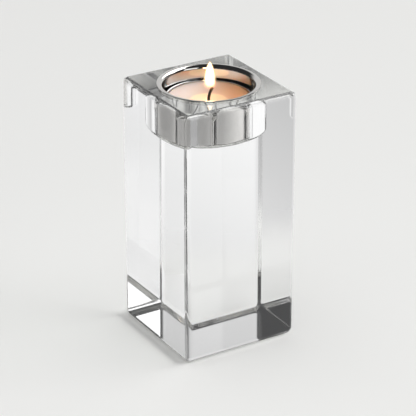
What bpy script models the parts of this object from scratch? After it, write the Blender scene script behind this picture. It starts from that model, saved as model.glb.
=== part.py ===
"""Tealight holder: a tall square block of clear crystal glass with a round recess in its top face.

A polished metal cup hangs in the recess by its flanged lip, and a tealight stands in the cup.
Lengths are in metres, +Z is up, and the origin is at the middle of the block's base.
The front face of the block looks along -Y.
"""

import math

import bpy
from mathutils import Vector

# Tealight cup, pressed from thin foil: the standard size that everything round it is made to fit
FOIL_CUP_RADIUS = 0.0190
FOIL_CUP_HEIGHT = 0.0140
FOIL_SHEET = 0.00025
FOIL_FLOOR_BEND = 0.0012
FOIL_RIM_CURL = 0.00030
FOIL_FOOT_WIDTH = 0.0026
FOIL_PANEL_RISE = 0.0005
FOIL_PANEL_STEP = 0.0007

# Wax, with the dish that the flame has melted round the wick
WAX_BELOW_RIM = 0.0006
WAX_EDGE_ROUND = 0.0004
WAX_DISH_DEPTH = 0.0019
POOL_RADIUS = 0.0088
POOL_DEPTH = 0.0008

# Wick, and the pressed tab that holds it upright
WICK_DIAMETER = 0.0014
WICK_UPRIGHT = 0.0022
WICK_CHARRED = 0.0037
WICK_TIP_LEAN = 0.0018
WICK_LEAN_HEADING = math.radians(-31)
TAB_RADIUS = 0.0062
TAB_SHEET = 0.0003
TAB_COLLAR_HEIGHT = 0.0042

# Metal cup, drawn from one sheet
CUP_SHEET = 0.0005
CUP_FLOOR_BEND = 0.0016
CUP_LIP_BEND = 0.0016
CUP_FLANGE_RUN = 0.0008
CUP_FLANGE_DROOP = 0.0001

# Glass block
BLOCK_HEIGHT = 0.121
BLOCK_WALL = 0.0074
BLOCK_EDGE_ROUND = 0.0025

# Fits: the gap between seated pieces, the tealight's play in the cup, and its rim's depth below the glass
SEAT_GAP = 0.0003
TEALIGHT_PLAY = 0.0009
TEALIGHT_SINK = 0.0054

# Facets
TURNED_SIDES = 48
SMALL_TURNED_SIDES = 24
EDGE_STEPS = 4
BEND_STEPS = 4
DISH_STEPS = 5
WICK_BEVEL_RESOLUTION = 2
CUTTER_MARGIN = 0.002
MERGE_DISTANCE = 0.00001

# Sizes that follow from those above, with heights from the foot of the tealight
foil_wall = FOIL_CUP_RADIUS - FOIL_SHEET / 2
foil_rim_radius = foil_wall + 2 * FOIL_RIM_CURL + FOIL_SHEET / 2
foil_floor_top = FOIL_PANEL_RISE + FOIL_SHEET
tab_base = foil_floor_top + SEAT_GAP
wick_radius = WICK_DIAMETER / 2
wick_bore = wick_radius + SEAT_GAP
wax_radius = FOIL_CUP_RADIUS - FOIL_SHEET - SEAT_GAP
wax_top = FOIL_CUP_HEIGHT - WAX_BELOW_RIM
pool_level = wax_top - WAX_DISH_DEPTH

# Sizes that follow for the metal cup and the block
cup_bore = foil_rim_radius + TEALIGHT_PLAY
cup_wall = cup_bore + CUP_SHEET / 2
recess_radius = cup_bore + CUP_SHEET + SEAT_GAP
recess_depth = SEAT_GAP + CUP_SHEET + SEAT_GAP + FOIL_CUP_HEIGHT + TEALIGHT_SINK
recess_mouth_round = CUP_LIP_BEND - CUP_SHEET / 2 - SEAT_GAP
recess_floor = BLOCK_HEIGHT - recess_depth
block_width = 2 * (recess_radius + BLOCK_WALL)
cup_seat = BLOCK_HEIGHT + SEAT_GAP
tealight_seat = recess_floor + SEAT_GAP + CUP_SHEET + SEAT_GAP


def clear_scene():
    """Removes whatever the open file holds."""
    for old in list(bpy.data.objects):
        bpy.data.objects.remove(old)


def new_collection(name):
    collection = bpy.data.collections.new(name)
    bpy.context.scene.collection.children.link(collection)
    return collection


def plain_material(name, colour, roughness, metallic=0.0, transmission=0.0, ior=1.5):
    """A Principled material with one value for each property."""
    material = bpy.data.materials.new(name)
    material.use_nodes = True
    shader = material.node_tree.nodes["Principled BSDF"]
    shader.inputs["Base Color"].default_value = (*colour, 1.0)
    shader.inputs["Roughness"].default_value = roughness
    shader.inputs["Metallic"].default_value = metallic
    shader.inputs["Transmission Weight"].default_value = transmission
    shader.inputs["IOR"].default_value = ior
    return material


def arc(centre, radius, start, end):
    """Points (r, z) along an arc from one angle to another, in degrees from +r towards +z."""
    angles = [math.radians(start + (end - start) * i / BEND_STEPS) for i in range(BEND_STEPS + 1)]
    return [(centre[0] + radius * math.cos(a), centre[1] + radius * math.sin(a)) for a in angles]


def sheet_profile(path, thickness):
    """The outline of a sheet whose middle line is path: out along its left side and back along its right.

    Every corner is mitred, so the sheet keeps its thickness round the bends.
    """
    points = [Vector(p) for p in path]
    headings = [(b - a).normalized() for a, b in zip(points, points[1:])]
    normals = [Vector((-h.y, h.x)) for h in headings]
    left = []
    right = []
    for i, point in enumerate(points):
        before = normals[max(i - 1, 0)]
        after = normals[min(i, len(normals) - 1)]
        mitre = (before + after).normalized()
        offset = mitre * (thickness / 2 / mitre.dot(after))
        left.append(point + offset)
        right.append(point - offset)
    return [tuple(p) for p in left + right[::-1]]


def turned(name, profile, sides, collection, material=None, closed=False):
    """A solid of revolution about Z from (r, z) points that run down the outer side."""
    mesh = bpy.data.meshes.new(name)
    edges = [(i, i + 1) for i in range(len(profile) - 1)]
    if closed:
        edges.append((len(profile) - 1, 0))
    mesh.from_pydata([(r, 0.0, z) for r, z in profile], edges, [])
    obj = bpy.data.objects.new(name, mesh)
    collection.objects.link(obj)
    screw = obj.modifiers.new("turn", "SCREW")
    screw.angle = math.tau
    screw.steps = sides
    screw.render_steps = sides
    screw.use_merge_vertices = True
    screw.merge_threshold = MERGE_DISTANCE
    screw.use_smooth_shade = True
    if material:
        mesh.materials.append(material)
    return obj


def place(obj, parent, height):
    """Seats a piece at a height above its parent's origin, on the common axis."""
    obj.parent = parent
    obj.location = (0, 0, height)
    return obj


def recess_cutter(collection):
    """The round recess: a mouth rounded to follow the cup's lip, a straight wall and a round floor corner."""
    mouth = recess_radius + recess_mouth_round
    above = BLOCK_HEIGHT + CUTTER_MARGIN
    corner = (recess_radius - CUP_FLOOR_BEND, recess_floor + CUP_FLOOR_BEND)
    profile = [
        (0, above),
        (mouth, above),
        *arc((mouth, BLOCK_HEIGHT - recess_mouth_round), recess_mouth_round, 90, 180),
        *arc(corner, CUP_FLOOR_BEND, 0, -90),
        (0, recess_floor),
    ]
    cutter = turned("recess_cutter", profile, TURNED_SIDES, collection)
    cutter.hide_render = True
    cutter.display_type = "WIRE"
    return cutter


def glass_block(collection, cutters):
    """The square column, with softly rounded edges and the recess cut into its top."""
    size = (block_width, block_width, BLOCK_HEIGHT)
    bpy.ops.mesh.primitive_cube_add(size=1, location=(0, 0, BLOCK_HEIGHT / 2), scale=size)
    bpy.ops.object.transform_apply(location=True, rotation=False, scale=True)
    block = bpy.context.active_object
    block.name = "glass_block"
    bpy.context.collection.objects.unlink(block)
    collection.objects.link(block)
    bevel = block.modifiers.new("polished_edges", "BEVEL")
    bevel.width = BLOCK_EDGE_ROUND
    bevel.segments = EDGE_STEPS
    bevel.limit_method = "NONE"
    recess = block.modifiers.new("recess", "BOOLEAN")
    recess.operation = "DIFFERENCE"
    recess.object = recess_cutter(cutters)
    glass = plain_material("clear_crystal_glass", (1.0, 1.0, 1.0), 0.0, transmission=1.0, ior=1.52)
    block.data.materials.append(glass)
    return block


def metal_cup(collection):
    """The cup that hangs in the recess by its lip. Its own height zero is the rim that rests on the glass."""
    half = CUP_SHEET / 2
    floor = half - recess_depth
    crest = half + CUP_FLANGE_DROOP
    lip_end = cup_wall + CUP_LIP_BEND
    droop_radius = (CUP_FLANGE_RUN**2 + CUP_FLANGE_DROOP**2) / (2 * CUP_FLANGE_DROOP)
    droop_angle = math.degrees(math.asin(CUP_FLANGE_RUN / droop_radius))
    path = [
        (0, floor),
        *arc((cup_wall - CUP_FLOOR_BEND, floor + CUP_FLOOR_BEND), CUP_FLOOR_BEND, -90, 0),
        *arc((lip_end, crest - CUP_LIP_BEND), CUP_LIP_BEND, 180, 90),
        *arc((lip_end, crest - droop_radius), droop_radius, 90, 90 - droop_angle)[1:],
    ]
    metal = plain_material("polished_nickel", (0.80, 0.79, 0.78), 0.06, metallic=1.0)
    return turned("metal_cup", sheet_profile(path, CUP_SHEET), TURNED_SIDES, collection, metal)


def tealight_cup(collection):
    """The foil cup, with a raised panel in its floor and a curled rim. Its own height zero is its foot."""
    half = FOIL_SHEET / 2
    panel_foot = foil_wall - FOIL_FLOOR_BEND - FOIL_FOOT_WIDTH
    path = [
        (0, FOIL_PANEL_RISE + half),
        (panel_foot - FOIL_PANEL_STEP, FOIL_PANEL_RISE + half),
        (panel_foot, half),
        *arc((foil_wall - FOIL_FLOOR_BEND, half + FOIL_FLOOR_BEND), FOIL_FLOOR_BEND, -90, 0),
        *arc((foil_wall + FOIL_RIM_CURL, FOIL_CUP_HEIGHT - half - FOIL_RIM_CURL), FOIL_RIM_CURL, 180, 0),
    ]
    foil = plain_material("bright_aluminium", (0.86, 0.86, 0.87), 0.22, metallic=1.0)
    return turned("tealight_cup", sheet_profile(path, FOIL_SHEET), TURNED_SIDES, collection, foil)


def melted_surface():
    """The wax's top (r, z) from the wick out: the floor of the pool, its edge, then the rise to the rim."""
    points = []
    for i in range(DISH_STEPS):
        share = i / DISH_STEPS
        sink = POOL_DEPTH * math.cos(math.pi / 2 * share)
        points.append((wick_bore + (POOL_RADIUS - wick_bore) * share, pool_level - sink))
    shoulder = wax_radius - WAX_EDGE_ROUND
    for i in range(DISH_STEPS):
        share = i / DISH_STEPS
        rise = WAX_DISH_DEPTH * (0.5 - 0.5 * math.cos(math.pi * share))
        points.append((POOL_RADIUS + (shoulder - POOL_RADIUS) * share, pool_level + rise))
    return points


def wax_fill(collection):
    """The wax, cast in the foil cup round the wick and over its tab, with the tealight's foot at zero."""
    base = foil_floor_top + SEAT_GAP
    tab_edge = TAB_RADIUS + SEAT_GAP
    tab_top = tab_base + TAB_SHEET + SEAT_GAP
    collar_side = wick_bore + TAB_SHEET + SEAT_GAP
    collar_top = tab_base + TAB_COLLAR_HEIGHT + SEAT_GAP
    profile = [
        *melted_surface(),
        *arc((wax_radius - WAX_EDGE_ROUND, wax_top - WAX_EDGE_ROUND), WAX_EDGE_ROUND, 90, 0),
        *arc((wax_radius - FOIL_FLOOR_BEND, base + FOIL_FLOOR_BEND), FOIL_FLOOR_BEND, 0, -90),
        (tab_edge, base),
        (tab_edge, tab_top),
        (collar_side, tab_top),
        (collar_side, collar_top),
        (wick_bore, collar_top),
    ]
    wax = plain_material("ivory_wax", (0.93, 0.86, 0.77), 0.38)
    return turned("wax_fill", profile, TURNED_SIDES, collection, wax, closed=True)


def wick_tab(collection):
    """The pressed disc under the wax, with the collar that grips the wick and its underside at zero."""
    collar_side = wick_bore + TAB_SHEET
    profile = [
        (wick_bore, TAB_COLLAR_HEIGHT),
        (collar_side, TAB_COLLAR_HEIGHT),
        (collar_side, TAB_SHEET),
        (TAB_RADIUS, TAB_SHEET),
        (TAB_RADIUS, 0),
        (wick_bore, 0),
    ]
    tin = plain_material("tinned_steel", (0.70, 0.70, 0.69), 0.30, metallic=1.0)
    return turned("wick_tab", profile, SMALL_TURNED_SIDES, collection, tin, closed=True)


def wick(collection):
    """The braided wick: straight up from the tab through the wax, then bent over where it is charred."""
    straight = pool_level + WICK_UPRIGHT - tab_base
    lean = Vector((math.cos(WICK_LEAN_HEADING), math.sin(WICK_LEAN_HEADING), 0)) * WICK_TIP_LEAN
    up = Vector((0, 0, 1))
    points = [Vector((0, 0, 0)), up * straight]
    for i in range(1, BEND_STEPS + 1):
        share = i / BEND_STEPS
        climb = WICK_CHARRED * math.sin(math.pi / 2 * share)
        points.append(up * (straight + climb) + lean * share**2)
    curve = bpy.data.curves.new("wick", "CURVE")
    curve.dimensions = "3D"
    curve.bevel_depth = wick_radius
    curve.bevel_resolution = WICK_BEVEL_RESOLUTION
    curve.use_fill_caps = True
    spline = curve.splines.new("POLY")
    spline.points.add(len(points) - 1)
    for target, point in zip(spline.points, points):
        target.co = (*point, 1.0)
    obj = bpy.data.objects.new("wick", curve)
    collection.objects.link(obj)
    curve.materials.append(plain_material("charred_cotton", (0.05, 0.04, 0.035), 0.9))
    return obj


def build():
    clear_scene()
    parts = new_collection("tealight_holder")
    cutters = new_collection("cutters")

    block = glass_block(parts, cutters)
    cup = place(metal_cup(parts), block, cup_seat)

    tealight = bpy.data.objects.new("tealight", None)
    parts.objects.link(tealight)
    place(tealight, cup, tealight_seat - cup_seat)
    place(tealight_cup(parts), tealight, 0)
    place(wax_fill(parts), tealight, 0)
    place(wick_tab(parts), tealight, tab_base)
    place(wick(parts), tealight, tab_base)


build()
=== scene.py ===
"""The looks of the tealight holder, piece by piece in the order in which it is put together."""

import math

import bmesh
import bpy
from mathutils import Matrix, Vector


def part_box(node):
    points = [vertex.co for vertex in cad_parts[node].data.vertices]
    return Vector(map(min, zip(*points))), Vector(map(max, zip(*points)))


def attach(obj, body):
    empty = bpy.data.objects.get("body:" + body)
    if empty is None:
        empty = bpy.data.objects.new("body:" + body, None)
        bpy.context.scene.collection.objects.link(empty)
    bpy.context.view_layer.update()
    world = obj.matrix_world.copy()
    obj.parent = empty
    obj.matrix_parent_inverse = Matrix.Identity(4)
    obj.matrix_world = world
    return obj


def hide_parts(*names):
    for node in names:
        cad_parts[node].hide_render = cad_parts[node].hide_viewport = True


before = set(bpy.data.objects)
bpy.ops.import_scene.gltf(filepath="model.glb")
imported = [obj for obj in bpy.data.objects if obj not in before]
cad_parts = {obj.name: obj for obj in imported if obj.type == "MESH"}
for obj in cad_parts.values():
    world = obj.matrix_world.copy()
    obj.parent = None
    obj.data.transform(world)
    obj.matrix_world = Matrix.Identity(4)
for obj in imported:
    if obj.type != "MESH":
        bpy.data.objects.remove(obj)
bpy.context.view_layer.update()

# Glass block: one solid column of clear lead crystal, pressed square, then ground and polished on
# all sides. Its edges are rounded, most at the foot, and a flat-floored round recess is bored into
# its top for the metal cup.
block_low, block_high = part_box("glass_block")
TOP_EDGE_ROUND = 0.0025
UPRIGHT_EDGE_ROUND = 0.0026
FOOT_EDGE_ROUND = 0.0032
EDGE_STEPS = 10
RECESS_RADIUS = 0.0213
RECESS_DEPTH = 0.0205
RECESS_CORNER = 0.0016
RECESS_MOUTH = 0.00105
BEND_STEPS = 10
TURNED_SIDES = 160
SHARP_BEND = math.radians(40)
LARGE_FACE_WEIGHT = 100
CRYSTAL_IOR = 1.53
CRYSTAL_TINT = (0.990, 0.995, 0.994, 1.0)
CLEAREST_TINT = (0.996, 0.998, 0.998, 1.0)
TINT_SCALE = 90.0
TINT_DETAIL = 4.0
LIGHT_THROUGH = (0.965, 0.97, 0.965, 1.0)
EDGE_LIGHT_SHARE = 0.4
FLAT_FACING = (0.97, 0.999)
MIX_FIRST_COLOUR = 6
MIX_SECOND_COLOUR = 7
MIX_COLOUR_OUT = 2


class Field:
    """A socket of a node tree that can be used in arithmetic: each operation adds a Math node."""

    def __init__(self, tree, socket=None):
        self.tree = tree
        self.socket = socket

    def add(self, kind, settings=None, sockets=None, out=0):
        """Adds a node of any type: its settings first, then the value or the link of each socket."""
        node = self.tree.nodes.new("ShaderNode" + kind)
        for name, setting in (settings or {}).items():
            setattr(node, name, setting)
        for name, given in (sockets or {}).items():
            if isinstance(given, Field):
                self.tree.links.new(given.socket, node.inputs[name])
            else:
                node.inputs[name].default_value = given
        return Field(self.tree, node.outputs[out] if len(node.outputs) else None)

    def out(self, name):
        """Another output of the same node."""
        return Field(self.tree, self.socket.node.outputs[name])

    def maths(self, operation, *terms):
        return self.add("Math", {"operation": operation}, dict(enumerate(terms)))

    def vectors(self, operation, *terms, out="Vector"):
        return self.add("VectorMath", {"operation": operation}, dict(enumerate(terms)), out)

    def __add__(self, other):
        return self.maths("ADD", self, other)

    __radd__ = __add__

    def __sub__(self, other):
        return self.maths("SUBTRACT", self, other)

    def __rsub__(self, other):
        return self.maths("SUBTRACT", other, self)

    def __mul__(self, other):
        return self.maths("MULTIPLY", self, other)

    __rmul__ = __mul__

    def __truediv__(self, other):
        return self.maths("DIVIDE", self, other)

    def __rtruediv__(self, other):
        return self.maths("DIVIDE", other, self)

    def step(self, start, end):
        """0 before start and 1 after end, with a smooth rise between them."""
        ends = {"Value": self, "From Min": start, "From Max": end}
        return self.add("MapRange", {"interpolation_type": "SMOOTHSTEP"}, ends)

    def mix(self, first, second):
        """The first colour where this field is 0, and the second where it is 1."""
        colours = {"Factor": self, MIX_FIRST_COLOUR: first, MIX_SECOND_COLOUR: second}
        return self.add("Mix", {"data_type": "RGBA"}, colours, MIX_COLOUR_OUT)

    def noise(self, scale, detail):
        """Soft random values between 0 and 1 over the places that this field gives."""
        return self.add("TexNoise", sockets={"Vector": self, "Scale": scale, "Detail": detail})

    def bump(self, strength, distance):
        """The normals of a surface that has this field as its fine relief."""
        relief = {"Strength": strength, "Distance": distance, "Height": self}
        return self.add("Bump", sockets=relief, out="Normal")


def blank_material(name):
    """A material with an empty tree, and a field to add its nodes with."""
    material = bpy.data.materials.new(name)
    material.use_nodes = True
    material.node_tree.nodes.clear()
    return material, Field(material.node_tree)


def in_scene(name, data):
    """A new object of the scene, with a mesh, a curve, a lamp or a camera for its data."""
    obj = bpy.data.objects.new(name, data)
    bpy.context.scene.collection.objects.link(obj)
    return obj


def finished(name, mesh, sharp=True):
    """Closes a bmesh into an object of the scene, shaded smooth up to its sharp edges."""
    data = bpy.data.meshes.new(name)
    bmesh.ops.recalc_face_normals(mesh, faces=mesh.faces)
    mesh.to_mesh(data)
    mesh.free()
    data.shade_smooth()
    if sharp:
        data.set_sharp_from_angle(angle=SHARP_BEND)
    return in_scene(name, data)


def arc(centre, radius, start, end):
    """Points (r, z) along an arc from one angle to another, in degrees from +r towards +z."""
    angles = [math.radians(start + (end - start) * i / BEND_STEPS) for i in range(BEND_STEPS + 1)]
    return [(centre[0] + radius * math.cos(a), centre[1] + radius * math.sin(a)) for a in angles]


def turned(name, profile, sides=TURNED_SIDES, closed=False):
    """A mesh object turned about Z from (r, z) points, whose last ring meets the first if it is closed."""
    mesh = bmesh.new()
    rings = []
    for radius, height in profile:
        count = sides if radius > 0 else 1
        angles = [math.tau * k / count for k in range(count)]
        rings.append([mesh.verts.new((radius * math.cos(a), radius * math.sin(a), height)) for a in angles])
    for upper, lower in zip(rings, rings[1:] + rings[:closed]):
        for k in range(sides):
            ring = [upper[k % len(upper)], lower[k % len(lower)]]
            ring += [lower[(k + 1) % len(lower)], upper[(k + 1) % len(upper)]]
            mesh.faces.new(dict.fromkeys(ring))
    return finished(name, mesh)


def crystal_block():
    """The polished block with its recess cut out, and normals that stay flat on its flat sides."""
    mesh = bmesh.new()
    size = block_high - block_low
    bmesh.ops.create_cube(mesh, matrix=Matrix.Diagonal((*size, 1.0)))
    bmesh.ops.translate(mesh, verts=mesh.verts, vec=(block_low + block_high) / 2)
    weight = mesh.edges.layers.float.new("bevel_weight_edge")
    for edge in mesh.edges:
        ends = {corner.co.z for corner in edge.verts}
        edge_round = UPRIGHT_EDGE_ROUND
        if len(ends) == 1:
            edge_round = TOP_EDGE_ROUND if max(ends) > size.z / 2 else FOOT_EDGE_ROUND
        edge[weight] = edge_round / FOOT_EDGE_ROUND
    block = finished("crystal_block", mesh, sharp=False)
    rounding = block.modifiers.new("polished_edges", "BEVEL")
    rounding.width = FOOT_EDGE_ROUND
    rounding.segments = EDGE_STEPS
    rounding.limit_method = "WEIGHT"
    top = block_high.z
    floor = top - RECESS_DEPTH
    mouth = RECESS_RADIUS + RECESS_MOUTH
    cutter = turned(
        "recess_cutter",
        [
            (0, top + RECESS_MOUTH),
            (mouth, top + RECESS_MOUTH),
            *arc((mouth, top - RECESS_MOUTH), RECESS_MOUTH, 90, 180),
            *arc((RECESS_RADIUS - RECESS_CORNER, floor + RECESS_CORNER), RECESS_CORNER, 0, -90),
            (0, floor),
        ],
    )
    recess = block.modifiers.new("recess", "BOOLEAN")
    recess.object = cutter
    flat = block.modifiers.new("flat_sides", "WEIGHTED_NORMAL")
    flat.keep_sharp = True
    flat.weight = LARGE_FACE_WEIGHT
    bored = bpy.data.meshes.new_from_object(block.evaluated_get(bpy.context.evaluated_depsgraph_get()))
    block.modifiers.clear()
    block.data = bored
    bpy.data.objects.remove(cutter)
    return block


crystal, nodes = blank_material("clear_crystal")
place = nodes.add("TexCoord", out="Object")
glass = nodes.add(
    "BsdfPrincipled",
    sockets={
        "Base Color": place.noise(TINT_SCALE, TINT_DETAIL).mix(CRYSTAL_TINT, CLEAREST_TINT),
        "Roughness": 0.0,
        "Transmission Weight": 1.0,
        "IOR": CRYSTAL_IOR,
    },
)
lit_through = nodes.add("BsdfTransparent", sockets={"Color": LIGHT_THROUGH})
facing = nodes.vectors("ABSOLUTE", nodes.add("NewGeometry", out="Normal"))
facing_x = nodes.add("SeparateXYZ", sockets={"Vector": facing})
flatness = nodes.maths("MAXIMUM", facing_x, nodes.maths("MAXIMUM", facing_x.out("Y"), facing_x.out("Z")))
light_share = EDGE_LIGHT_SHARE + (1 - EDGE_LIGHT_SHARE) * flatness.step(*FLAT_FACING)
in_shadow = nodes.add("LightPath", out="Is Shadow Ray") * light_share
surface = nodes.add("MixShader", sockets={0: in_shadow, 1: glass, 2: lit_through})
nodes.add("OutputMaterial", sockets={"Surface": surface})

block = crystal_block()
block.data.materials.clear()
block.data.materials.append(crystal)
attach(block, "block")
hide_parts("glass_block")

# Metal cup: drawn from one sheet, with a flanged lip that hangs on the glass round the recess.
# It is nickel plated and buffed bright on a spindle, which leaves fine rings in the polish.
cup_low, cup_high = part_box("metal_cup")
CUP_SHEET = 0.0005
CUP_WALL = 0.02075
CUP_FLOOR_BEND = 0.0016
CUP_LIP_BEND = 0.0016
CUP_FLANGE_RUN = 0.0008
CUP_FLANGE_DROOP = 0.0001
NICKEL = (0.78, 0.765, 0.745, 1.0)
SMEARED_NICKEL = (0.73, 0.715, 0.695, 1.0)
SMEAR_SCALE = 160.0
SMEAR_DETAIL = 5.0
BUFFED_ROUGHNESS = 0.035
SMEAR_ROUGHNESS = 0.05
RING_SCALE = 900.0
RING_STRENGTH = 0.02
RING_HEIGHT = 0.00002


def sheet_profile(path, thickness):
    """The outline of a sheet whose middle line is path: out along its left side and back along its right."""
    points = [Vector(p) for p in path]
    headings = [(b - a).normalized() for a, b in zip(points, points[1:])]
    normals = [Vector((-h.y, h.x)) for h in headings]
    left = []
    right = []
    for i, point in enumerate(points):
        before = normals[max(i - 1, 0)]
        after = normals[min(i, len(normals) - 1)]
        mitre = (before + after).normalized()
        offset = mitre * (thickness / 2 / mitre.dot(after))
        left.append(point + offset)
        right.append(point - offset)
    return [tuple(p) for p in left + right[::-1]]


def drawn_cup():
    """The cup's sheet from the middle of its floor, up its wall and over the lip to the flange's edge."""
    half = CUP_SHEET / 2
    floor = cup_low.z + half
    crest = cup_high.z - half
    lip_end = CUP_WALL + CUP_LIP_BEND
    droop_radius = (CUP_FLANGE_RUN**2 + CUP_FLANGE_DROOP**2) / (2 * CUP_FLANGE_DROOP)
    droop_angle = math.degrees(math.asin(CUP_FLANGE_RUN / droop_radius))
    path = [
        (0, floor),
        *arc((CUP_WALL - CUP_FLOOR_BEND, floor + CUP_FLOOR_BEND), CUP_FLOOR_BEND, -90, 0),
        *arc((lip_end, crest - CUP_LIP_BEND), CUP_LIP_BEND, 180, 90),
        *arc((lip_end, crest - droop_radius), droop_radius, 90, 90 - droop_angle)[1:],
    ]
    return turned("drawn_cup", sheet_profile(path, CUP_SHEET))


nickel, nodes = blank_material("buffed_nickel")
place = nodes.add("TexCoord", out="Object")
smear = place.noise(SMEAR_SCALE, SMEAR_DETAIL)
about_z = {"wave_type": "RINGS", "rings_direction": "Z"}
rings = nodes.add("TexWave", about_z, {"Vector": place, "Scale": RING_SCALE}, "Fac")
surface = nodes.add(
    "BsdfPrincipled",
    sockets={
        "Base Color": smear.mix(NICKEL, SMEARED_NICKEL),
        "Metallic": 1.0,
        "Roughness": BUFFED_ROUGHNESS + smear * SMEAR_ROUGHNESS,
        "Normal": rings.bump(RING_STRENGTH, RING_HEIGHT),
    },
)
nodes.add("OutputMaterial", sockets={"Surface": surface})

cup = drawn_cup()
cup.data.materials.append(nickel)
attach(cup, "cup")
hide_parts("metal_cup")

# Foil cup: the tealight's own case, pressed from thin bright aluminium with a curled rim and a raised
# floor panel. Pressing leaves fine upright draw lines in its wall, and handling leaves soft dents.
foil_low, foil_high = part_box("tealight_cup")
FOIL_SHEET = 0.00025
FOIL_WALL = 0.018875
FOIL_FLOOR_BEND = 0.0012
FOIL_RIM_CURL = 0.0003
FOIL_FOOT = 0.0026
FOIL_PANEL_RISE = 0.0005
FOIL_PANEL_STEP = 0.0007
ALUMINIUM = (0.72, 0.72, 0.725, 1.0)
DENTED_ALUMINIUM = (0.64, 0.64, 0.65, 1.0)
DRAW_LINE_STRETCH = (1.0, 1.0, 0.04)
DRAW_LINE_SCALE = 1400.0
DRAW_LINE_DETAIL = 3.0
DRAW_LINE_RELIEF = 0.35
DRAW_LINE_ROUGHNESS = 0.08
DENT_SCALE = 260.0
DENT_DETAIL = 2.0
FOIL_ROUGHNESS = 0.05
PRESSING_STRENGTH = 0.25
PRESSING_HEIGHT = 0.00012


def foil_case():
    """The foil from the middle of its raised panel, down to the foot ring and up to the curled rim."""
    half = FOIL_SHEET / 2
    foot = foil_low.z + half
    panel = FOIL_WALL - FOIL_FLOOR_BEND - FOIL_FOOT
    curl_height = foil_high.z - half - FOIL_RIM_CURL
    path = [
        (0, foot + FOIL_PANEL_RISE),
        (panel - FOIL_PANEL_STEP, foot + FOIL_PANEL_RISE),
        (panel, foot),
        *arc((FOIL_WALL - FOIL_FLOOR_BEND, foot + FOIL_FLOOR_BEND), FOIL_FLOOR_BEND, -90, 0),
        *arc((FOIL_WALL + FOIL_RIM_CURL, curl_height), FOIL_RIM_CURL, 180, 0),
    ]
    return turned("foil_case", sheet_profile(path, FOIL_SHEET))


foil, nodes = blank_material("pressed_aluminium_foil")
place = nodes.add("TexCoord", out="Object")
upright = nodes.add("Mapping", sockets={"Vector": place, "Scale": DRAW_LINE_STRETCH})
lines = upright.noise(DRAW_LINE_SCALE, DRAW_LINE_DETAIL)
dents = place.noise(DENT_SCALE, DENT_DETAIL)
relief = lines * DRAW_LINE_RELIEF + dents
surface = nodes.add(
    "BsdfPrincipled",
    sockets={
        "Base Color": dents.mix(ALUMINIUM, DENTED_ALUMINIUM),
        "Metallic": 1.0,
        "Roughness": FOIL_ROUGHNESS + lines * DRAW_LINE_ROUGHNESS,
        "Normal": relief.bump(PRESSING_STRENGTH, PRESSING_HEIGHT),
    },
)
nodes.add("OutputMaterial", sockets={"Surface": surface})

case = foil_case()
case.data.materials.append(foil)
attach(case, "tealight")
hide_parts("tealight_cup")

# Wick tab: a small pressed disc of tinned steel under the wax, whose collar grips the wick. It is out of
# sight while there is wax in the case, so the CAD solid stays and takes only its finish here.
TIN = (0.70, 0.70, 0.69, 1.0)
DULL_TIN = (0.58, 0.58, 0.58, 1.0)
SPANGLE_SCALE = 700.0
SPANGLE_DETAIL = 3.0
TIN_ROUGHNESS = 0.25
SPANGLE_ROUGHNESS = 0.2

tinned, nodes = blank_material("tinned_steel")
place = nodes.add("TexCoord", out="Object")
spangle = place.noise(SPANGLE_SCALE, SPANGLE_DETAIL)
surface = nodes.add(
    "BsdfPrincipled",
    sockets={
        "Base Color": spangle.mix(TIN, DULL_TIN),
        "Metallic": 1.0,
        "Roughness": TIN_ROUGHNESS + spangle * SPANGLE_ROUGHNESS,
    },
)
nodes.add("OutputMaterial", sockets={"Surface": surface})

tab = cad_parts["wick_tab"]
tab.data.materials.clear()
tab.data.materials.append(tinned)

# Wick: three strands of cotton plaited tightly, standing in the tab's collar and soaked with wax.
# Above the pool it is charred black, and it has bent over where it burns.
wick_low, wick_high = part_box("wick")
WICK_RADIUS = 0.00072
STRANDS = 3
STRAND_RADIUS = 0.00038
STRAND_POINTS = 90
STRAND_ROUNDNESS = 3
PLAIT_PITCH = 0.0026
WICK_TIP = wick_high.z
WICK_UPRIGHT_TOP = WICK_TIP - 0.0056
WICK_TIP_LEAN = 0.0018
WICK_CURL = 1.8
LEAN_TURN = math.radians(-31)
LEAN_WAY = Vector((math.cos(LEAN_TURN), math.sin(LEAN_TURN), 0.0))
WAXED_COTTON = (0.72, 0.60, 0.46, 1.0)
CHAR = (0.009, 0.006, 0.005, 1.0)
EMBER = (0.045, 0.014, 0.008, 1.0)
CHAR_RISE = (WICK_TIP - 0.0068, WICK_TIP - 0.0060)
CHAR_UNEVENNESS = 0.0006
EMBER_RISE = (WICK_TIP - 0.0008, WICK_TIP + 0.0004)
EMBER_UNEVENNESS = 0.0008
FIBRE_SCALE = 2500.0
FIBRE_DETAIL = 3.0
COTTON_ROUGHNESS = 0.55
FIBRE_ROUGHNESS = 0.4
FUZZ_STRENGTH = 0.6
FUZZ_HEIGHT = 0.0001


def wick_centre(height):
    """The middle of the wick at a height: upright to just above the pool, then leaning over to its tip."""
    share = max(0.0, (height - WICK_UPRIGHT_TOP) / (WICK_TIP - WICK_UPRIGHT_TOP))
    return Vector((0, 0, height)) + LEAN_WAY * WICK_TIP_LEAN * share**WICK_CURL


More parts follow.
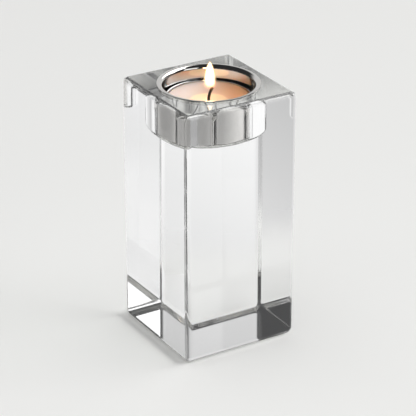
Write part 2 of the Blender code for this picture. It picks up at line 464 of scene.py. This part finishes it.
def plaited_wick():
    """The strands as thin tubes, each of which winds round the wick's middle line."""
    curve = bpy.data.curves.new("plaited_wick", "CURVE")
    curve.dimensions = "3D"
    curve.bevel_depth = STRAND_RADIUS
    curve.bevel_resolution = STRAND_ROUNDNESS
    curve.use_fill_caps = True
    for strand in range(STRANDS):
        spline = curve.splines.new("POLY")
        spline.points.add(STRAND_POINTS - 1)
        for i, point in enumerate(spline.points):
            height = wick_low.z + (WICK_TIP - STRAND_RADIUS - wick_low.z) * i / (STRAND_POINTS - 1)
            turn = math.tau * (height / PLAIT_PITCH + strand / STRANDS)
            out = Vector((math.cos(turn), math.sin(turn), 0)) * (WICK_RADIUS - STRAND_RADIUS)
            point.co = (*(wick_centre(height) + out), 1.0)
    return in_scene("plaited_wick", curve)


charred, nodes = blank_material("charred_cotton")
place = nodes.add("TexCoord", out="Object")
height = nodes.add("SeparateXYZ", sockets={"Vector": place}, out="Z")
fibre = place.noise(FIBRE_SCALE, FIBRE_DETAIL)
burnt = (height + fibre * CHAR_UNEVENNESS).step(*CHAR_RISE)
glowing = (height + fibre * EMBER_UNEVENNESS).step(*EMBER_RISE)
surface = nodes.add(
    "BsdfPrincipled",
    sockets={
        "Base Color": glowing.mix(burnt.mix(WAXED_COTTON, CHAR), EMBER),
        "Roughness": COTTON_ROUGHNESS + fibre * FIBRE_ROUGHNESS,
        "Normal": fibre.bump(FUZZ_STRENGTH, FUZZ_HEIGHT),
    },
)
nodes.add("OutputMaterial", sockets={"Surface": surface})

wick = plaited_wick()
wick.data.materials.append(charred)
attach(wick, "tealight")
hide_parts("wick")

# Wax: ivory paraffin cast round the wick and its tab in the foil case. The flame has dished its top
# and melted a small pool round the wick. The side that the wick leans to is painted orange: painted shade
# with painted warm flame light.
wax_low, wax_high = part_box("wax_fill")
WAX_RADIUS = 0.01845
WAX_EDGE_ROUND = 0.0004
WAX_DISH_DEPTH = 0.0019
POOL_RADIUS = 0.0088
POOL_DEPTH = 0.0008
DISH_STEPS = 24
WICK_HOLE = 0.0008
TAB_POCKET_RADIUS = 0.0065
TAB_POCKET_HEIGHT = 0.0006
COLLAR_POCKET_RADIUS = 0.0016
COLLAR_POCKET_HEIGHT = 0.0046
IVORY = (0.59, 0.50, 0.46, 1.0)
PALE_IVORY = (0.64, 0.55, 0.51, 1.0)
# Painted shade with painted warm flame light, for the side that the wick leans to.
PAINTED_FLAME_SHADE = (0.94, 0.49, 0.24, 1.0)
MELTED = (0.93, 0.69, 0.49, 1.0)
MOTTLE_SCALE = 220.0
MOTTLE_DETAIL = 4.0
PAINTED_FLAME_SHADE_RISE = (-0.5, 1.3)
PAINTED_FLAME_SHADE_UNEVENNESS = 0.2
POOL_EDGE = (POOL_RADIUS - 0.0003, POOL_RADIUS + 0.0009)
POOL_UNEVENNESS = 0.0008
WAX_ROUGHNESS = 0.40
POOL_SMOOTHNESS = 0.12
WAX_GRAIN_STRENGTH = 0.12
WAX_GRAIN_HEIGHT = 0.0002
WAX_DEPTH_SHARE = 0.6
WAX_DEPTH = 0.003
WAX_DEPTH_BY_COLOUR = (1.0, 0.55, 0.3)
WAX_IOR = 1.44


def cast_wax():
    """The wax from the wick over the pool and the dish, down its side and round the pocket of the tab."""
    level = wax_high.z - WAX_DISH_DEPTH
    shoulder = WAX_RADIUS - WAX_EDGE_ROUND
    pool = []
    dish = []
    for i in range(DISH_STEPS):
        share = i / DISH_STEPS
        sink = POOL_DEPTH * math.cos(math.pi / 2 * share)
        pool.append((WICK_HOLE + (POOL_RADIUS - WICK_HOLE) * share, level - sink))
        rise = WAX_DISH_DEPTH * (1 - math.cos(math.pi * share)) / 2
        dish.append((POOL_RADIUS + (shoulder - POOL_RADIUS) * share, level + rise))
    base_round = FOIL_FLOOR_BEND
    tab_top = wax_low.z + TAB_POCKET_HEIGHT
    collar_top = wax_low.z + COLLAR_POCKET_HEIGHT
    profile = [
        *pool,
        *dish,
        *arc((shoulder, wax_high.z - WAX_EDGE_ROUND), WAX_EDGE_ROUND, 90, 0),
        *arc((WAX_RADIUS - base_round, wax_low.z + base_round), base_round, 0, -90),
        (TAB_POCKET_RADIUS, wax_low.z),
        (TAB_POCKET_RADIUS, tab_top),
        (COLLAR_POCKET_RADIUS, tab_top),
        (COLLAR_POCKET_RADIUS, collar_top),
        (WICK_HOLE, collar_top),
    ]
    return turned("cast_wax", profile, closed=True)


paraffin, nodes = blank_material("ivory_paraffin")
place = nodes.add("TexCoord", out="Object")
across = nodes.vectors("MULTIPLY", place, (1.0, 1.0, 0.0))
radius = nodes.vectors("LENGTH", across, out="Value")
leeward = nodes.vectors("DOT_PRODUCT", place, LEAN_WAY, out="Value")
mottle = place.noise(MOTTLE_SCALE, MOTTLE_DETAIL)
# Painted shade with painted warm flame light: orange towards the side that the wick leans to.
flame_shade_mask = (leeward / WAX_RADIUS + mottle * PAINTED_FLAME_SHADE_UNEVENNESS).step(*PAINTED_FLAME_SHADE_RISE)
pool = 1 - (radius + mottle * POOL_UNEVENNESS).step(*POOL_EDGE)
mottled_wax_and_painted_shade = flame_shade_mask.mix(mottle.mix(IVORY, PALE_IVORY), PAINTED_FLAME_SHADE)
grain = mottle * (1 - pool)
surface = nodes.add(
    "BsdfPrincipled",
    sockets={
        "Base Color": pool.mix(mottled_wax_and_painted_shade, MELTED),
        "Roughness": WAX_ROUGHNESS - pool * POOL_SMOOTHNESS,
        "Subsurface Weight": WAX_DEPTH_SHARE,
        "Subsurface Radius": WAX_DEPTH_BY_COLOUR,
        "Subsurface Scale": WAX_DEPTH,
        "IOR": WAX_IOR,
        "Normal": grain.bump(WAX_GRAIN_STRENGTH, WAX_GRAIN_HEIGHT),
    },
)
nodes.add("OutputMaterial", sockets={"Surface": surface})

wax = cast_wax()
wax.data.materials.append(paraffin)
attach(wax, "tealight")
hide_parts("wax_fill")

# Flame: burning gas, not a solid. It is drawn as thin nested shells of a teardrop, faint outside and
# white-hot inside, which ride with the tealight, and a small warm lamp at its middle gives its light.
# A SHELL value is a pair, the outermost shell's and the innermost one's.
FLAME_FOOT = WICK_TIP - 0.0036
FLAME_TIP = WICK_TIP + 0.0139
FLAME_SHIFT = 0.0005
FLAME_LEAN = Vector((-0.0021, -0.0034, 0.0))
FLAME_CURL = 1.5
FLAME_RADIUS = 0.0027
FLAME_DROOP = 0.52
FLAME_FULLNESS = 0.62
FLAME_POINTS = 40
FLAME_SIDES = 48
FLAME_SHELLS = 6
SHELL_WIDTHS = (1.25, 0.5)
SHELL_HEIGHTS = (1.0, 0.9)
SHELL_GREENS = (0.62, 0.82)
SHELL_BLUES = (0.28, 0.64)
SHELL_STRENGTHS = (1.0, 12.0)
SHELL_ALPHAS = (0.12, 0.57)
FLAME_RISE = (WICK_TIP - 0.0008, WICK_TIP + 0.0122)
HEAT_RISE = (WICK_TIP - 0.001, WICK_TIP + 0.003)
COOL_GAS = (1.0, 0.42, 0.12, 1.0)
BLACK = (0.0, 0.0, 0.0, 1.0)
LAMP_WATTS = 0.004
LAMP_COLOUR = (1.0, 0.62, 0.34)
LAMP_RADIUS = 0.002


def between(ends, share):
    """The value at a share of the way from the first end to the second."""
    return ends[0] + (ends[1] - ends[0]) * share


def flame_shell(name, width, height):
    """A teardrop round the wick's tip, as shares of the whole flame's width and height."""
    profile = []
    for i in range(FLAME_POINTS + 1):
        share = 1 - i / FLAME_POINTS
        swell = math.sin(math.pi * share**FLAME_DROOP) ** FLAME_FULLNESS
        radius = 0 if i in (0, FLAME_POINTS) else FLAME_RADIUS * width * swell
        profile.append((radius, FLAME_FOOT + (FLAME_TIP - FLAME_FOOT) * height * share))
    shell = turned(name, profile, sides=FLAME_SIDES)
    for corner in shell.data.vertices:
        share = max(0.0, (corner.co.z - FLAME_FOOT) / (FLAME_TIP - FLAME_FOOT))
        corner.co += LEAN_WAY * FLAME_SHIFT + FLAME_LEAN * share**FLAME_CURL
    return shell


for n in range(FLAME_SHELLS):
    depth = n / (FLAME_SHELLS - 1)
    hot_gas = (1.0, between(SHELL_GREENS, depth), between(SHELL_BLUES, depth), 1.0)
    gas, nodes = blank_material(f"flame_gas_{n}")
    place = nodes.add("TexCoord", out="Object")
    height = nodes.add("SeparateXYZ", sockets={"Vector": place}, out="Z")
    surface = nodes.add(
        "BsdfPrincipled",
        sockets={
            "Base Color": BLACK,
            "Specular IOR Level": 0.0,
            "Roughness": 1.0,
            "Emission Color": height.step(*HEAT_RISE).mix(COOL_GAS, hot_gas),
            "Emission Strength": between(SHELL_STRENGTHS, depth),
            "Alpha": between(SHELL_ALPHAS, depth) * height.step(*FLAME_RISE),
        },
    )
    nodes.add("OutputMaterial", sockets={"Surface": surface})
    shell = flame_shell(f"flame_{n}", between(SHELL_WIDTHS, depth), between(SHELL_HEIGHTS, depth))
    shell.data.materials.append(gas)
    shell.visible_diffuse = False
    shell.visible_shadow = False
    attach(shell, "tealight")

lamp = bpy.data.lights.new("flame_light", "POINT")
lamp.energy = LAMP_WATTS
lamp.color = LAMP_COLOUR
lamp.shadow_soft_size = LAMP_RADIUS
flame_light = in_scene("flame_light", lamp)
flame_light.location = LEAN_WAY * FLAME_SHIFT + Vector((0, 0, (FLAME_FOOT + FLAME_TIP) / 2))
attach(flame_light, "tealight")

# Table top: a wide sheet of pale matt paper on a flat table. It lies a hair below the block's base,
# and the studio's cards lie in the gap between the two.
FLOOR_SIZE = 8.0
FLOOR_DROP = 0.0002
PALE_PAPER = (0.83, 0.83, 0.815, 1.0)

mesh = bmesh.new()
bmesh.ops.create_grid(mesh, x_segments=1, y_segments=1, size=FLOOR_SIZE / 2)
floor = finished("table_top", mesh)
floor.location.z = -FLOOR_DROP
paper, nodes = blank_material("pale_matt_paper")
surface = nodes.add(
    "BsdfPrincipled",
    sockets={"Base Color": PALE_PAPER, "Roughness": 1.0, "Specular IOR Level": 0.0},
)
nodes.add("OutputMaterial", sockets={"Surface": surface})
floor.data.materials.append(paper)

# Lamps: a large soft box far off on the right and a wide panel overhead light the table and the
# tealight. A window at the back right shows only in reflections, and a small bright card stands at
# the front right. Their places are given as the camera sees them.
AZIMUTH = math.radians(-31.34)
across_view = Vector((math.cos(AZIMUTH), math.sin(AZIMUTH), 0))
into_view = Vector((-math.sin(AZIMUTH), math.cos(AZIMUTH), 0))
upwards = Vector((0, 0, 1))
middle = Vector((0, 0, block_high.z / 2))


def soft_box(name, direction, distance, width, height, watts):
    """A rectangular lamp that faces the object from a direction (right, ahead, up) as the camera sees it."""
    light = bpy.data.lights.new(name, "AREA")
    light.shape = "RECTANGLE"
    light.size = width
    light.size_y = height
    light.energy = watts
    right, ahead, up = direction
    way = (across_view * right + into_view * ahead + upwards * up).normalized()
    box = in_scene(name, light)
    box.location = middle + way * distance
    box.rotation_euler = way.to_track_quat("Z", "Y").to_euler()
    return box


key = soft_box("key", direction=(0.88, 0.0, 0.50), distance=12.0, width=8.0, height=5.2, watts=1740.0)
key.visible_transmission = False
key.visible_glossy = False
window = soft_box("window", direction=(0.57, 0.41, 0.68), distance=2.0, width=2.0, height=1.5, watts=24.0)
window.visible_transmission = False
window.visible_diffuse = False
soft_box("card", direction=(0.67, -0.64, 0.38), distance=1.0, width=0.6, height=0.5, watts=1.2)
overhead = soft_box("overhead", direction=(-0.2, 0.0, 1.0), distance=2.4, width=3.6, height=3.6, watts=34.0)
overhead.visible_glossy = False
overhead.visible_transmission = False

# Surround: the table as the glass and the metal see it, a glowing card with a soft-edged clear middle where
# the block stands. Its glow is painted light that falls off into painted shade to the front left, away from
# the lamps, and gives the metal its gradient.
SURROUND_SIZE = 2.0
CLEAR_MIDDLE = (0.075, 0.12)
LIT_RIGHT = 0.8
LIT_AHEAD = 0.6
FALL_OFF_START = 0.21
FALL_OFF_RUN = 0.41
SHADED_TABLE = (0.39, 0.39, 0.39, 1.0)
LIT_TABLE = (1.02, 1.02, 1.02, 1.0)


def floor_card(name, centre, width, depth, sunk, turn):
    """A card that lies on the table, seen only in the glass and the metal, and a field for its nodes."""
    mesh = bmesh.new()
    bmesh.ops.create_grid(mesh, x_segments=1, y_segments=1, size=1 / 2)
    card = finished(name, mesh)
    card.scale = (width, depth, 1.0)
    card.location = centre - upwards * sunk
    card.rotation_euler.z = turn
    card.visible_camera = False
    card.visible_diffuse = False
    card.visible_shadow = False
    material, nodes = blank_material(name)
    card.data.materials.append(material)
    return nodes


nodes = floor_card("surround", Vector(), SURROUND_SIZE, SURROUND_SIZE, sunk=FLOOR_DROP / 2, turn=AZIMUTH)
spot = nodes.add("NewGeometry", out="Position")
away = nodes.vectors("LENGTH", spot, out="Value")
lampwards = across_view * LIT_RIGHT + into_view * LIT_AHEAD
along = nodes.vectors("DOT_PRODUCT", spot, lampwards, out="Value")
# Painted light towards the lamps and painted shade to the front left, as the card's own glow.
shade = nodes.add(
    "BsdfPrincipled",
    sockets={
        "Base Color": BLACK,
        "Specular IOR Level": 0.0,
        "Roughness": 1.0,
        "Emission Color": ((along + FALL_OFF_START) / FALL_OFF_RUN).mix(SHADED_TABLE, LIT_TABLE),
        "Emission Strength": 1.0,
    },
)
bare = nodes.add("BsdfTransparent")
surface = nodes.add("MixShader", sockets={0: away.step(*CLEAR_MIDDLE), 1: bare, 2: shade})
nodes.add("OutputMaterial", sockets={"Surface": surface})

# Painted light card: a glowing patch that lies on the table close on the right, a painted pool of light. It
# brightens what is seen through the block's left side, and fades out at its left and right ends.
PAINTED_LIGHT_SIZE = 0.2
PAINTED_LIGHT_RIGHT = 0.1
PAINTED_LIGHT_AHEAD = -0.03
PAINTED_LIGHT_GLOW = 0.93
PAINTED_LIGHT_START = (0.0, 0.03)
PAINTED_LIGHT_END = (0.13, 0.19)

centre = across_view * PAINTED_LIGHT_RIGHT + into_view * PAINTED_LIGHT_AHEAD
nodes = floor_card("painted_light_card", centre, PAINTED_LIGHT_SIZE, PAINTED_LIGHT_SIZE, sunk=FLOOR_DROP / 3, turn=AZIMUTH)
spot = nodes.add("NewGeometry", out="Position")
aside = nodes.vectors("DOT_PRODUCT", spot, across_view, out="Value")
# Painted light: the card glows by itself and stands in for a bright patch of the table.
painted_glow = nodes.add("Emission", sockets={"Strength": PAINTED_LIGHT_GLOW})
bare = nodes.add("BsdfTransparent")
inside = aside.step(*PAINTED_LIGHT_START) * (1 - aside.step(*PAINTED_LIGHT_END))
surface = nodes.add("MixShader", sockets={0: inside, 1: bare, 2: painted_glow})
nodes.add("OutputMaterial", sockets={"Surface": surface})

# Under card: a card as large as the block that lies under its base. It is grey with painted shade towards
# the block's front and pale as the paper towards its back, and gives the top face its tone.
PAINTED_UNDER_SHADE = (0.26, 0.26, 0.255, 1.0)
PAINTED_UNDER_SHADE_RISE = (-0.026, 0.014)

base = block_high - block_low
nodes = floor_card("under_card", Vector(), base.x, base.y, sunk=FLOOR_DROP / 4, turn=0.0)
spot = nodes.add("NewGeometry", out="Position")
backwards = nodes.add("SeparateXYZ", sockets={"Vector": spot}, out="Y")
# Painted shade under the block's base, darkest towards its front.
surface = nodes.add(
    "BsdfPrincipled",
    sockets={
        "Base Color": backwards.step(*PAINTED_UNDER_SHADE_RISE).mix(PAINTED_UNDER_SHADE, PALE_PAPER),
        "Roughness": 1.0,
        "Specular IOR Level": 0.0,
    },
)
nodes.add("OutputMaterial", sockets={"Surface": surface})

# Room: a pale backdrop stands low behind the table. The rest of the room is dim, so that the front of
# the cup's rim mirrors a dark wall.
DIM_ROOM = (0.03, 0.03, 0.031, 1.0)
PALE_BACKDROP = (0.70, 0.70, 0.70, 1.0)
BACKDROP_SIDES = (0.5, 0.85)
BACKDROP_TOP = (0.46, 0.60)

scene = bpy.context.scene
world = bpy.data.worlds.new("studio")
world.use_nodes = True
world.node_tree.nodes.clear()
nodes = Field(world.node_tree)
way = nodes.add("TexCoord", out="Generated")
ahead = nodes.vectors("DOT_PRODUCT", way, into_view, out="Value")
up = nodes.add("SeparateXYZ", sockets={"Vector": way}, out="Z")
backdrop = ahead.step(*BACKDROP_SIDES) * (1 - up.step(*BACKDROP_TOP))
sky = nodes.add("Background", sockets={"Color": backdrop.mix(DIM_ROOM, PALE_BACKDROP), "Strength": 1.0})
nodes.add("OutputWorld", sockets={"Surface": sky})
scene.world = world

# Camera: a long lens at the block's front left, which looks down at its middle. Light may bounce often
# enough to pass the glass, the cup and all the shells of the flame.
ELEVATION = math.radians(25.31)
CAMERA_DISTANCE = 0.9299
CAMERA_LENS = 176.0
CAMERA_SLIDE = -0.00034
CAMERA_RISE = -0.00042

camera_data = bpy.data.cameras.new("camera")
camera_data.lens = CAMERA_LENS
camera = in_scene("camera", camera_data)
back = -into_view * math.cos(ELEVATION) + upwards * math.sin(ELEVATION)
above = into_view * math.sin(ELEVATION) + upwards * math.cos(ELEVATION)
camera.location = middle + back * CAMERA_DISTANCE + across_view * CAMERA_SLIDE + above * CAMERA_RISE
camera.rotation_euler = back.to_track_quat("Z", "Y").to_euler()
scene.camera = camera

scene.view_settings.view_transform = "Standard"
scene.cycles.max_bounces = 40
scene.cycles.transmission_bounces = 32
scene.cycles.glossy_bounces = 16
scene.cycles.transparent_max_bounces = 32
scene.cycles.blur_glossy = 0.0
